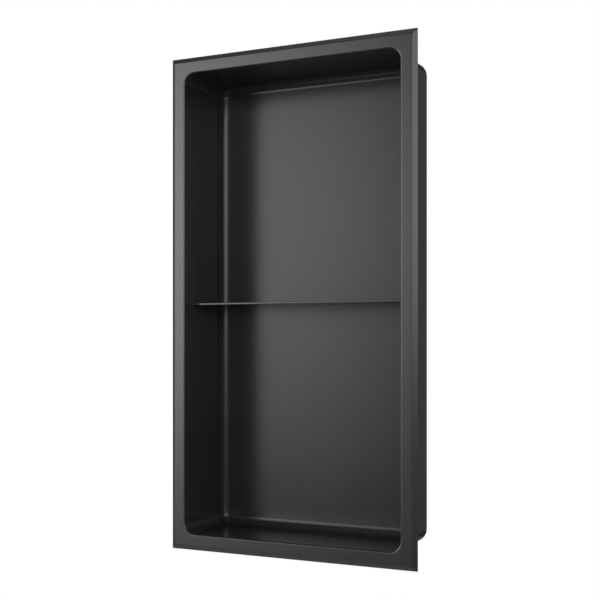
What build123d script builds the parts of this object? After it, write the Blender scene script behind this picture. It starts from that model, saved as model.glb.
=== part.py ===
from build123d import *
import math
import os

os.makedirs("parts", exist_ok=True)

# Sizes in millimetres. The finished wall is the plane Y = 0, the room is at -Y and +Z is up.
# The origin is the middle of the flange's seat on the wall.

# Tub
opening_w = 300.0
opening_h = 600.0
inner_depth = 100.0
sheet = 1.2
corner_r = 15.0
back_r = 12.0

# Flange round the mouth, with a rim that slopes back to the wall
flange_w = 21.0
rim_w = 6.0
rim_rise = 4.0
mouth_r = 2.2
crease_r = 2.0
point_r = 1.5

# Shelf
shelf_t = 2.5
shelf_setback = 19.0
shelf_height = 0.0
shelf_edge_r = 0.5
shelf_corner_clear = 2.0

# What follows from those sizes
flange_outer_w = opening_w + 2 * flange_w
flange_outer_h = opening_h + 2 * flange_w
face_y = -rim_rise
back_y = face_y + inner_depth
rim_slant = math.hypot(rim_w, rim_rise)
seat_w = sheet * rim_slant / rim_rise
under_rise = rim_rise - sheet
under_inset = seat_w + under_rise * rim_w / rim_rise

# The shell: flange, tub outside, tub inside, then the bends
with BuildPart() as niche_body:
    # Flange and sloping rim, seen from the room
    with BuildSketch(Plane.XZ):
        Rectangle(flange_outer_w, flange_outer_h)
    with BuildSketch(Plane.XZ.offset(rim_rise)):
        Rectangle(flange_outer_w - 2 * rim_w, flange_outer_h - 2 * rim_w)
    loft(ruled=True)
    slant_edges = niche_body.edges().filter_by(lambda e: e.bounding_box().size.Y > rim_rise / 2)
    fillet(slant_edges, point_r)
    face_edges = niche_body.faces().sort_by(Axis.Y)[0].edges()
    fillet(face_edges, crease_r)

    # Hollow behind the flange, one sheet in from the face and the rim
    with BuildSketch(Plane.XZ):
        Rectangle(flange_outer_w - 2 * seat_w, flange_outer_h - 2 * seat_w)
    with BuildSketch(Plane.XZ.offset(under_rise)):
        Rectangle(flange_outer_w - 2 * under_inset, flange_outer_h - 2 * under_inset)
    loft(ruled=True, mode=Mode.SUBTRACT)

    # Tub, outside and inside
    with BuildSketch(Plane.XZ.offset(-(back_y + sheet))):
        RectangleRounded(opening_w + 2 * sheet, opening_h + 2 * sheet, corner_r + sheet)
    extrude(amount=inner_depth + sheet)
    with BuildSketch(Plane.XZ.offset(-back_y)):
        RectangleRounded(opening_w, opening_h, corner_r)
    extrude(amount=inner_depth, mode=Mode.SUBTRACT)

    # Bends from the walls into the back, about one centre inside and out
    inner_back = niche_body.faces().filter_by(Axis.Y).sort_by(Axis.Y)[-2]
    fillet(inner_back.edges(), back_r)
    outer_back = niche_body.faces().sort_by(Axis.Y)[-1]
    fillet(outer_back.edges(), back_r + sheet)

    # Bend of the sheet behind the flange
    under_face = niche_body.faces().filter_by(Axis.Y).sort_by(Axis.Y)[1]
    fillet(under_face.inner_wires()[0].edges(), mouth_r - sheet)

    # Bend from the walls out into the flange
    flange_face = niche_body.faces().sort_by(Axis.Y)[0]
    fillet(flange_face.inner_wires()[0].edges(), mouth_r)
niche_body.part.label = "niche_body"

# The shelf reaches from wall to wall and back to the tub's back, with its rear corners eased past the bends
shelf_front_y = face_y + shelf_setback
with BuildPart() as shelf:
    with BuildSketch(Plane.XY.offset(shelf_height - shelf_t / 2)):
        with Locations((0, (shelf_front_y + back_y) / 2)):
            outline = Rectangle(opening_w, back_y - shelf_front_y)
        fillet(outline.vertices().group_by(Axis.Y)[-1], back_r + shelf_corner_clear)
    extrude(amount=shelf_t)
    front_edges = shelf.faces().sort_by(Axis.Y)[0].edges().filter_by(Axis.X)
    fillet(front_edges, shelf_edge_r)
shelf.part.label = "shelf"

export_step(niche_body.part, "parts/niche_body.step")
export_step(shelf.part, "parts/shelf.step")
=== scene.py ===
import bmesh
import bpy
import math
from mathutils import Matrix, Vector


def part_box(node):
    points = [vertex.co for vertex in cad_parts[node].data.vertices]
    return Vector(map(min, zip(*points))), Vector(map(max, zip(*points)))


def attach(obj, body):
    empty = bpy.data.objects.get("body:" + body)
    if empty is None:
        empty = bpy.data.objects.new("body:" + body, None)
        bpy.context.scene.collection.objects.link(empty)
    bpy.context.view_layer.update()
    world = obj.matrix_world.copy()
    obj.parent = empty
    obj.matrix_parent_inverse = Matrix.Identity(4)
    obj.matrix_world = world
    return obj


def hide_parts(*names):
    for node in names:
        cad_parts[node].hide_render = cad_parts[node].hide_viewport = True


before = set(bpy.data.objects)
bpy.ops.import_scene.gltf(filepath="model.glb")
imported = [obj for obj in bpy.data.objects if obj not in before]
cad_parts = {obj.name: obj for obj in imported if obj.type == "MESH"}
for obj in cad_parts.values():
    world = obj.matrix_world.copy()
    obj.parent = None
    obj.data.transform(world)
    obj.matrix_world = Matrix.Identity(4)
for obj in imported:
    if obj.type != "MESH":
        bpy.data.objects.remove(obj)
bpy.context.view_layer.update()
bodyLow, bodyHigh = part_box("niche_body")
shelfLow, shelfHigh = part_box("shelf")
print("frame loaded:", ", ".join(sorted(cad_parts)))

# Sizes read off the frame, in metres: the wall is Y = 0 and the room is at -Y
faceY = bodyLow.y
backY = shelfHigh.y
sheet = bodyHigh.y - backY
halfW = shelfHigh.x
flangeW = bodyHigh.x - halfW
halfH = bodyHigh.z - flangeW
depth = backY - faceY
tiny = 1e-5   # what lies closer than this is in the same place


# Picking in edit mode, by place, with nothing selected before
def startPick(mode):
    bpy.ops.mesh.select_mode(type=mode)
    bpy.ops.mesh.select_all(action="DESELECT")
    return bmesh.from_edit_mesh(bpy.context.object.data)


def pickVerts(test):
    shape = startPick("VERT")
    for vert in shape.verts:
        if test(vert.co):
            vert.select_set(True)
    shape.select_flush_mode()
    bmesh.update_edit_mesh(bpy.context.object.data)


def pickEdges(test):
    shape = startPick("EDGE")
    for edge in shape.edges:
        if test(edge.verts[0].co, edge.verts[1].co):
            edge.select_set(True)
    bmesh.update_edit_mesh(bpy.context.object.data)


def pickFaces(test):
    shape = startPick("FACE")
    for face in shape.faces:
        if test(face.calc_center_median()):
            face.select_set(True)
    bmesh.update_edit_mesh(bpy.context.object.data)


def startBox(name, low, high):
    low, high = Vector(low), Vector(high)
    bpy.ops.object.select_all(action="DESELECT")
    bpy.ops.mesh.primitive_cube_add(size=1, location=(low + high) / 2, scale=high - low)
    box = bpy.context.object
    box.name = name
    box.data.name = name
    bpy.ops.object.transform_apply(location=True, rotation=True, scale=True)
    return box


def bendEdges(width, steps):
    bpy.ops.mesh.bevel(offset=width, segments=steps, profile=0.5, affect="EDGES")   # 0.5 is a round bend


def bendWidth(radius, turn):
    return radius * math.tan(turn / 2)   # how far a bend of this radius reaches along each face


def applyModifier(piece, kind, **values):
    modifier = piece.modifiers.new(kind.lower(), kind)
    for name, value in values.items():
        setattr(modifier, name, value)
    bpy.ops.object.modifier_apply(modifier=modifier.name)


# Shading: the bends are smooth, and the flat faces beside them stay flat
shadingSpec = {
    "sharpAngle": 50,
    "faceWeight": 60,   # how strongly large faces pull the normals
}


def smoothShading(piece, spec):
    bpy.ops.object.shade_smooth_by_angle(angle=math.radians(spec["sharpAngle"]))
    applyModifier(piece, "WEIGHTED_NORMAL", weight=spec["faceWeight"], keep_sharp=True)


# The shell: a sheet that runs from the tub over the mouth bend into the flange and its sloping rim
shellSpec = {
    "cornerR": 0.015,   # wall to wall
    "backR": 0.012,     # wall to back
    "mouthR": 0.0022,   # wall to flange
    "rimW": 0.006,      # rim seen from the front
    "creaseR": 0.002,   # flange to rim
    "pointR": 0.0015,   # corners of the rim
    "cornerSteps": 16,
    "backSteps": 12,
    "mouthSteps": 6,
    "creaseSteps": 6,
    "pointSteps": 5,
}


def makeShell(spec):
    middle = (0, 0, 0)
    rimRise = -faceY
    rimTurn = math.atan2(rimRise, spec["rimW"])
    faceW = halfW + flangeW - spec["rimW"]
    faceH = halfH + flangeW - spec["rimW"]

    def onFace(p):
        return abs(p.y - faceY) < tiny

    def onFaceEdge(p):
        return onFace(p) and (abs(p.x) > faceW - tiny or abs(p.z) > faceH - tiny)

    # Tub: a box without its front, bent at the wall corners and round the back
    shell = startBox("nicheShell", (-halfW, faceY, -halfH), (halfW, backY, halfH))
    bpy.ops.object.mode_set(mode="EDIT")
    pickFaces(onFace)
    bpy.ops.mesh.delete(type="ONLY_FACE")
    pickEdges(lambda a, b: abs(a.y - b.y) > depth / 2)
    bendEdges(spec["cornerR"], spec["cornerSteps"])
    pickEdges(lambda a, b: min(a.y, b.y) > backY - tiny)
    bendEdges(spec["backR"], spec["backSteps"])
    print("tub bent")

    # Flange: the mouth's edge drawn out and squared up, side by side and then at the four corners.
    # It is lifted off the mouth meanwhile, so that it can be picked alone
    lift = depth / 50
    pickEdges(lambda a, b: onFace(a) and onFace(b))
    bpy.ops.mesh.extrude_edges_move(TRANSFORM_OT_translate={"value": (0, -lift, 0)})

    def lifted(p):
        return p.y < faceY - tiny

    for side in (-1, 1):
        pickVerts(lambda p: lifted(p) and halfW - side * p.x < halfH - abs(p.z) - tiny)
        bpy.ops.transform.resize(value=(0, 1, 1), center_override=(side * halfW, 0, 0))
        pickVerts(lambda p: lifted(p) and halfH - side * p.z < halfW - abs(p.x) - tiny)
        bpy.ops.transform.resize(value=(1, 1, 0), center_override=(0, 0, side * halfH))
    cornerIn = spec["cornerR"] * (1 - math.sqrt(0.5))   # from the square corner in to the middle of its arc
    pickVerts(lambda p: lifted(p) and abs(p.x) < halfW - tiny and abs(p.z) < halfH - tiny)
    cornerOut = (halfW / (halfW - cornerIn), 1, halfH / (halfH - cornerIn))
    bpy.ops.transform.resize(value=cornerOut, center_override=middle)
    pickVerts(lifted)
    bpy.ops.transform.resize(value=(faceW / halfW, 1, faceH / halfH), center_override=middle)
    bpy.ops.transform.translate(value=(0, lift, 0))

    # Rim, drawn past the wall so that it can be trimmed flat there
    pastWall = rimRise / 2
    rimRun = spec["rimW"] * (rimRise + pastWall) / rimRise
    rimOut = (1 + rimRun / faceW, 1, 1 + rimRun / faceH)
    pickEdges(lambda a, b: onFaceEdge(a) and onFaceEdge(b))
    bpy.ops.mesh.extrude_edges_move(TRANSFORM_OT_translate={"value": (0, rimRise + pastWall, 0)})
    bpy.ops.transform.resize(value=rimOut, center_override=middle)

    # Bends from the flange into the tub and into the rim
    pickEdges(lambda a, b: onFace(a) and onFace(b) and not onFaceEdge(a) and not onFaceEdge(b))
    bendEdges(spec["mouthR"], spec["mouthSteps"])
    pickEdges(lambda a, b: onFaceEdge(a) and onFaceEdge(b))
    bendEdges(bendWidth(spec["creaseR"], rimTurn), spec["creaseSteps"])
    bpy.ops.object.mode_set(mode="OBJECT")
    applyModifier(shell, "SOLIDIFY", thickness=sheet, offset=1,
                  use_even_offset=True, use_quality_normals=True)
    print("flange and rim drawn out, sheet", round(sheet * 1000, 2), "mm")

    # The rim's edge is trimmed to lie on the wall
    bpy.ops.object.mode_set(mode="EDIT")
    clear = flangeW / 4

    def outside(p):
        return abs(p.x) > halfW + clear or abs(p.z) > halfH + clear

    pickFaces(lambda p: outside(p) and p.y > faceY + sheet + tiny)
    bpy.ops.mesh.bisect(plane_co=middle, plane_no=(0, 1, 0), clear_outer=True, use_fill=False)
    pickEdges(lambda a, b: outside(a) and outside(b) and abs(a.y) < tiny and abs(b.y) < tiny)
    bpy.ops.mesh.bridge_edge_loops()

    # Rounded points of the rim
    def onPoint(p):
        return abs(abs(p.x) - faceW - (abs(p.z) - faceH)) < tiny and abs(p.x) > faceW - tiny

    pickEdges(lambda a, b: onPoint(a) and onPoint(b) and abs(a.y - b.y) > rimRise / 2)
    pointTurn = math.acos(math.cos(rimTurn) ** 2)
    bendEdges(bendWidth(spec["pointR"], pointTurn), spec["pointSteps"])
    bpy.ops.object.mode_set(mode="OBJECT")
    smoothShading(shell, shadingSpec)
    print("rim trimmed and eased:", len(shell.data.polygons), "faces")
    return shell


# The shelf: a plate between the walls, its rear corners eased past the bends
shelfSpec = {
    "rearR": 0.014,
    "rearSteps": 10,
    "frontR": 0.0005,
    "frontSteps": 4,
}


def makeShelf(spec):
    shelf = startBox("shelfPlate", shelfLow, shelfHigh)
    bpy.ops.object.mode_set(mode="EDIT")
    pickEdges(lambda a, b: abs(a.z - b.z) > tiny and a.y > backY - tiny)
    bendEdges(spec["rearR"], spec["rearSteps"])
    pickEdges(lambda a, b: max(a.y, b.y) < shelfLow.y + tiny and abs(a.x - b.x) > tiny)
    bendEdges(spec["frontR"], spec["frontSteps"])
    bpy.ops.object.mode_set(mode="OBJECT")
    smoothShading(shelf, shadingSpec)
    print("shelf cut:", len(shelf.data.polygons), "faces")
    return shelf


# Camera, level and to the right of the mouth, with the frame lifted a little
cameraSpec = {
    "place": (0.622253, -1.226940, -0.049938),
    "turn": 26.301,   # degrees to the left of straight ahead
    "lens": 66.127,   # mm, and so is the sensor
    "sensor": 36.0,
    "lift": 0.070145,
    "near": 0.05,
}


def makeCamera(spec):
    upright = math.pi / 2
    facing = (upright, 0, math.radians(spec["turn"]))
    bpy.ops.object.camera_add(location=spec["place"], rotation=facing)
    camera = bpy.context.object
    camera.name = "photoCamera"
    camera.data.sensor_width = spec["sensor"]
    camera.data.lens = spec["lens"]
    camera.data.shift_y = spec["lift"]
    camera.data.clip_start = spec["near"]
    bpy.context.scene.camera = camera


def newMaterial(name):
    material = bpy.data.materials.new(name)
    material.use_nodes = True
    material.node_tree.nodes.clear()
    return material, material.node_tree.nodes, material.node_tree.links


def mathNode(tree, operation, first, second):
    node = tree.nodes.new("ShaderNodeMath")
    node.operation = operation
    for socket, value in zip(node.inputs, (first, second)):
        if isinstance(value, (int, float)):
            socket.default_value = value
        else:
            tree.links.new(value, socket)
    return node.outputs[0]


def fadeNode(tree, value, start, end):
    fade = tree.nodes.new("ShaderNodeMapRange")
    fade.interpolation_type = "SMOOTHSTEP"
    fade.inputs["From Min"].default_value = start
    fade.inputs["From Max"].default_value = end
    tree.links.new(value, fade.inputs["Value"])
    return fade.outputs["Result"]


def measureNode(tree, operation, vector, other=(0, 0, 0)):
    node = tree.nodes.new("ShaderNodeVectorMath")
    node.operation = operation
    node.inputs[1].default_value = other
    tree.links.new(vector, node.inputs[0])
    return node.outputs["Value"]


def axisNode(tree, vector, axis):
    node = tree.nodes.new("ShaderNodeSeparateXYZ")
    tree.links.new(vector, node.inputs[0])
    return node.outputs[axis]


# The coat's own texture: peel and grain in its surface, and a tone and roughness that drift over it.
# Its glossy film lies thinner inside the tub than on the flange: a thinner coat in the recess, and painted
# shade that dims the tub's reflections
grainSpec = {
    "cloudDetail": 3.0,
    "peelDetail": 1.0,
    "grainDetail": 2.0,
    "cloudDrift": 2.6,   # shares of the drift
    "grainDrift": 1.2,
    "peelHeight": 0.7,   # shares of the height
    "grainHeight": 0.3,
    # Depths over which the film thins into the tub, which paints shade onto its reflections
    "tubShadeFade": (0.0, 0.03),   # metres behind the wall's surface
}


def makeCoatGrain(spec):
    group = bpy.data.node_groups.new("coatGrain", "ShaderNodeTree")

    def addSockets(side, kind, *names):
        for name in names:
            group.interface.new_socket(name=name, in_out=side, socket_type=kind)

    addSockets("INPUT", "NodeSocketVector", "Vector")
    addSockets("INPUT", "NodeSocketColor", "Tone")
    addSockets("INPUT", "NodeSocketFloat", "Tone Drift", "Roughness", "Roughness Drift")
    addSockets("INPUT", "NodeSocketFloat", "Film", "Tub Shade Thinning")
    addSockets("INPUT", "NodeSocketFloat", "Cloud Scale", "Peel Scale", "Grain Scale")
    addSockets("OUTPUT", "NodeSocketColor", "Color")
    addSockets("OUTPUT", "NodeSocketFloat", "Roughness", "Film", "Height")
    given = group.nodes.new("NodeGroupInput").outputs
    result = group.nodes.new("NodeGroupOutput").inputs

    def noise(scale, detail):
        node = group.nodes.new("ShaderNodeTexNoise")
        node.inputs["Detail"].default_value = detail
        group.links.new(given["Vector"], node.inputs["Vector"])
        group.links.new(scale, node.inputs["Scale"])
        return mathNode(group, "SUBTRACT", node.outputs["Fac"], 0.5)   # it then varies about zero

    def blend(first, firstShare, second, secondShare):
        first = mathNode(group, "MULTIPLY", first, firstShare)
        second = mathNode(group, "MULTIPLY", second, secondShare)
        return mathNode(group, "ADD", first, second)

    cloud = noise(given["Cloud Scale"], spec["cloudDetail"])
    peel = noise(given["Peel Scale"], spec["peelDetail"])
    grain = noise(given["Grain Scale"], spec["grainDetail"])
    height = blend(peel, spec["peelHeight"], grain, spec["grainHeight"])
    group.links.new(height, result["Height"])

    # Tone and roughness drift together
    mottle = blend(cloud, spec["cloudDrift"], grain, spec["grainDrift"])
    shade = mathNode(group, "ADD", mathNode(group, "MULTIPLY", mottle, given["Tone Drift"]), 1.0)
    tint = group.nodes.new("ShaderNodeVectorMath")
    tint.operation = "SCALE"
    group.links.new(given["Tone"], tint.inputs[0])
    group.links.new(shade, tint.inputs["Scale"])
    group.links.new(tint.outputs["Vector"], result["Color"])
    drift = mathNode(group, "MULTIPLY", mottle, given["Roughness Drift"])
    group.links.new(mathNode(group, "ADD", given["Roughness"], drift), result["Roughness"])

    # The film thins out into the tub: a thinner coat there, and painted shade that dims the tub's reflections
    inside = fadeNode(group, axisNode(group, given["Vector"], "Y"), *spec["tubShadeFade"])
    shadeLoss = mathNode(group, "MULTIPLY", inside, given["Tub Shade Thinning"])
    kept = mathNode(group, "SUBTRACT", 1.0, shadeLoss)
    group.links.new(mathNode(group, "MULTIPLY", given["Film"], kept), result["Film"])
    return group


# Black satin coat, the same on both pieces but for the gloss and the size of its texture
blackCoat = {
    "Tone": (0.0205, 0.0205, 0.0214, 1),
    "Tone Drift": 0.16,
    # Painted shade: the film missing deep in the tub dims the reflections there
    "Tub Shade Thinning": 1.0,   # share of the film that is missing deep in the tub
    "specular": 0.456,
    "filmRoughness": 0.24,
    "peelDepth": 0.00002,
}
coatSpec = {
    "satinShell": {
        **blackCoat,
        "Roughness": 0.24,
        "Roughness Drift": 0.025,
        "Film": 0.4,
        "Cloud Scale": 13.0,
        "Peel Scale": 420.0,
        "Grain Scale": 1900.0,
    },
    "satinShelf": {
        **blackCoat,
        "Roughness": 0.12,
        "Roughness Drift": 0.02,
        "Film": 0.22,
        "Cloud Scale": 17.0,
        "Peel Scale": 460.0,
        "Grain Scale": 2100.0,
    },
}


def coatedMaterial(name, spec, coatGrain):
    material, nodes, links = newMaterial(name)
    output = nodes.new("ShaderNodeOutputMaterial")
    shader = nodes.new("ShaderNodeBsdfPrincipled")
    links.new(shader.outputs["BSDF"], output.inputs["Surface"])
    place = nodes.new("ShaderNodeTexCoord")
    grain = nodes.new("ShaderNodeGroup")
    grain.node_tree = coatGrain
    links.new(place.outputs["Object"], grain.inputs["Vector"])
    for socket in grain.inputs:
        if socket.name in spec:
            socket.default_value = spec[socket.name]
    bump = nodes.new("ShaderNodeBump")
    bump.inputs["Strength"].default_value = 1.0
    bump.inputs["Distance"].default_value = spec["peelDepth"]
    links.new(grain.outputs["Height"], bump.inputs["Height"])
    links.new(grain.outputs["Color"], shader.inputs["Base Color"])
    links.new(grain.outputs["Roughness"], shader.inputs["Roughness"])
    # The film carries the painted shade deep in the tub as well as the coat's gloss
    links.new(grain.outputs["Film"], shader.inputs["Coat Weight"])
    links.new(bump.outputs["Normal"], shader.inputs["Normal"])
    shader.inputs["Specular IOR Level"].default_value = spec["specular"]
    shader.inputs["Coat Roughness"].default_value = spec["filmRoughness"]
    return material


# Softboxes: turn and rise are degrees from the niche's front, to the right and upwards, away is the distance.
# The core is the share of a softbox that glows evenly, and from there it fades to its edge
lampSpec = {
    "keyLeft": {"turn": -37.8, "rise": 7.3, "away": 6.0, "size": (6.2, 5.55), "core": 0.1, "watts": 416},
    "sideLeft": {"turn": -60, "rise": 5, "away": 4.0, "size": (1.8, 3.6), "core": 0.4, "watts": 92},
    "fillRight": {"turn": 38, "rise": 12, "away": 4.0, "size": (5.6, 2.9), "core": 0.35, "watts": 134},
    "overhead": {"turn": -22, "rise": 79, "away": 4.0, "size": (5.4, 5.4), "core": 0.3, "watts": 38},
    "rear": {"turn": -170, "rise": 55, "away": 4.0, "size": (3.2, 3.2), "core": 0.3, "watts": 110},
}
lampTint = (0.97, 0.97, 1.0)


def towards(turn, rise):
    turn, rise = math.radians(turn), math.radians(rise)
    flat = math.cos(rise)
    return Vector((math.sin(turn) * flat, -math.cos(turn) * flat, math.sin(rise)))


def makeLamp(name, spec):
    direction = towards(spec["turn"], spec["rise"])
    bpy.ops.object.light_add(type="AREA", location=direction * spec["away"])
    lamp = bpy.context.object
    lamp.name = name
    lamp.rotation_euler = direction.to_track_quat("Z", "Y").to_euler()
    lamp.data.shape = "RECTANGLE"
    lamp.data.size, lamp.data.size_y = spec["size"]
    lamp.data.energy = spec["watts"]
    lamp.data.color = lampTint
    lamp.visible_camera = False
    lamp.data.use_nodes = True
    tree = lamp.data.node_tree
    tree.nodes.clear()
    output = tree.nodes.new("ShaderNodeOutputLight")
    glow = tree.nodes.new("ShaderNodeEmission")
    tree.links.new(glow.outputs[0], output.inputs["Surface"])
    place = tree.nodes.new("ShaderNodeNewGeometry")
    half = 0.5   # Parametric runs from 0 to 1 across the softbox
    away = measureNode(tree, "DISTANCE", place.outputs["Parametric"], (half, half, 0))
    tree.links.new(fadeNode(tree, away, half, half * spec["core"]), glow.inputs["Strength"])


# Room: white all round to the camera. Reflections see a white backdrop behind the niche,
# and elsewhere a dim band that runs out into the dark above and below
roomSpec = {
    "backdrop": (-153, 0),   # turn and rise
    "backdropEdge": (0.93, 0.985),   # cosines of the angle from there
    "dim": 0.166,
    "duskBelow": (-0.38, -0.08),   # sines of the rise
    "duskAbove": (0.45, 0.26),
    "day": 0.48,   # what the room adds to the lamps
}


def makeRoom(spec):
    world = bpy.data.worlds.new("studio")
    bpy.context.scene.world = world
    world.use_nodes = True
    world.cycles.sampling_method = "NONE"   # its light depends on the kind of ray
    tree = world.node_tree
    tree.nodes.clear()
    output = tree.nodes.new("ShaderNodeOutputWorld")
    background = tree.nodes.new("ShaderNodeBackground")
    background.inputs["Color"].default_value = (1, 1, 1, 1)
    tree.links.new(background.outputs[0], output.inputs["Surface"])

    # What a reflection sees
    look = tree.nodes.new("ShaderNodeTexCoord").outputs["Generated"]
    along = measureNode(tree, "DOT_PRODUCT", look, towards(*spec["backdrop"]))
    backdrop = fadeNode(tree, along, *spec["backdropEdge"])
    level = axisNode(tree, look, "Z")
    above = fadeNode(tree, level, *spec["duskAbove"])
    below = fadeNode(tree, level, *spec["duskBelow"])
    band = mathNode(tree, "MULTIPLY", mathNode(tree, "MULTIPLY", above, below), spec["dim"])
    mirrored = mathNode(tree, "MAXIMUM", backdrop, band)

    # White to the camera and through glass, mirrored to glossy rays, daylight to all the others
    path = tree.nodes.new("ShaderNodeLightPath").outputs
    direct = mathNode(tree, "MAXIMUM", path["Is Camera Ray"], path["Is Transmission Ray"])
    seen = mathNode(tree, "MAXIMUM", direct, path["Is Glossy Ray"])
    shown = mathNode(tree, "MULTIPLY", mathNode(tree, "MAXIMUM", mirrored, direct), seen)
    day = mathNode(tree, "MULTIPLY", mathNode(tree, "SUBTRACT", 1.0, seen), spec["day"])
    tree.links.new(mathNode(tree, "ADD", shown, day), background.inputs["Strength"])


# Floor, pale, well below the niche, which keeps the shadow and runs out into the white room
floorSpec = {
    "height": -0.75,
    "middle": (0.0, 0.1),
    "radius": 1.6,
    "sides": 96,
    "clear": (0.35, 0.8),   # shares of the radius between which it runs out
    "veil": 0.52,   # how much of the white shows through in the middle
    "pale": (0.9, 0.9, 0.9, 1),
}


def makeFloor(spec):
    bpy.ops.object.select_all(action="DESELECT")
    bpy.ops.mesh.primitive_circle_add(vertices=spec["sides"], radius=spec["radius"], fill_type="NGON")
    floor = bpy.context.object
    floor.name = "paleFloor"
    floor.location = (*spec["middle"], spec["height"])
    material, nodes, links = newMaterial("floorPale")
    tree = material.node_tree
    output = nodes.new("ShaderNodeOutputMaterial")
    mix = nodes.new("ShaderNodeMixShader")
    links.new(mix.outputs[0], output.inputs["Surface"])
    pale = nodes.new("ShaderNodeBsdfDiffuse")
    pale.inputs["Color"].default_value = spec["pale"]
    links.new(pale.outputs[0], mix.inputs[1])
    clear = nodes.new("ShaderNodeBsdfTransparent")
    links.new(clear.outputs[0], mix.inputs[2])
    place = nodes.new("ShaderNodeTexCoord")
    away = measureNode(tree, "LENGTH", place.outputs["Object"])
    start, end = (spec["radius"] * share for share in spec["clear"])
    runOut = fadeNode(tree, away, start, end)
    links.new(mathNode(tree, "MAXIMUM", runOut, spec["veil"]), mix.inputs["Fac"])
    floor.data.materials.append(material)


bpy.context.scene.view_settings.view_transform = "Standard"
makeCamera(cameraSpec)
makeRoom(roomSpec)
makeFloor(floorSpec)
for lampName, spec in lampSpec.items():
    makeLamp(lampName, spec)
print("studio set:", ", ".join(lampSpec))

coatGrain = makeCoatGrain(grainSpec)
coats = {name: coatedMaterial(name, spec, coatGrain) for name, spec in coatSpec.items()}
print("coats mixed:", ", ".join(coats))

shell = makeShell(shellSpec)
shell.data.materials.append(coats["satinShell"])
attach(shell, "root")
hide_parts("niche_body")
shelf = makeShelf(shelfSpec)
shelf.data.materials.append(coats["satinShelf"])
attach(shelf, "root")
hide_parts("shelf")
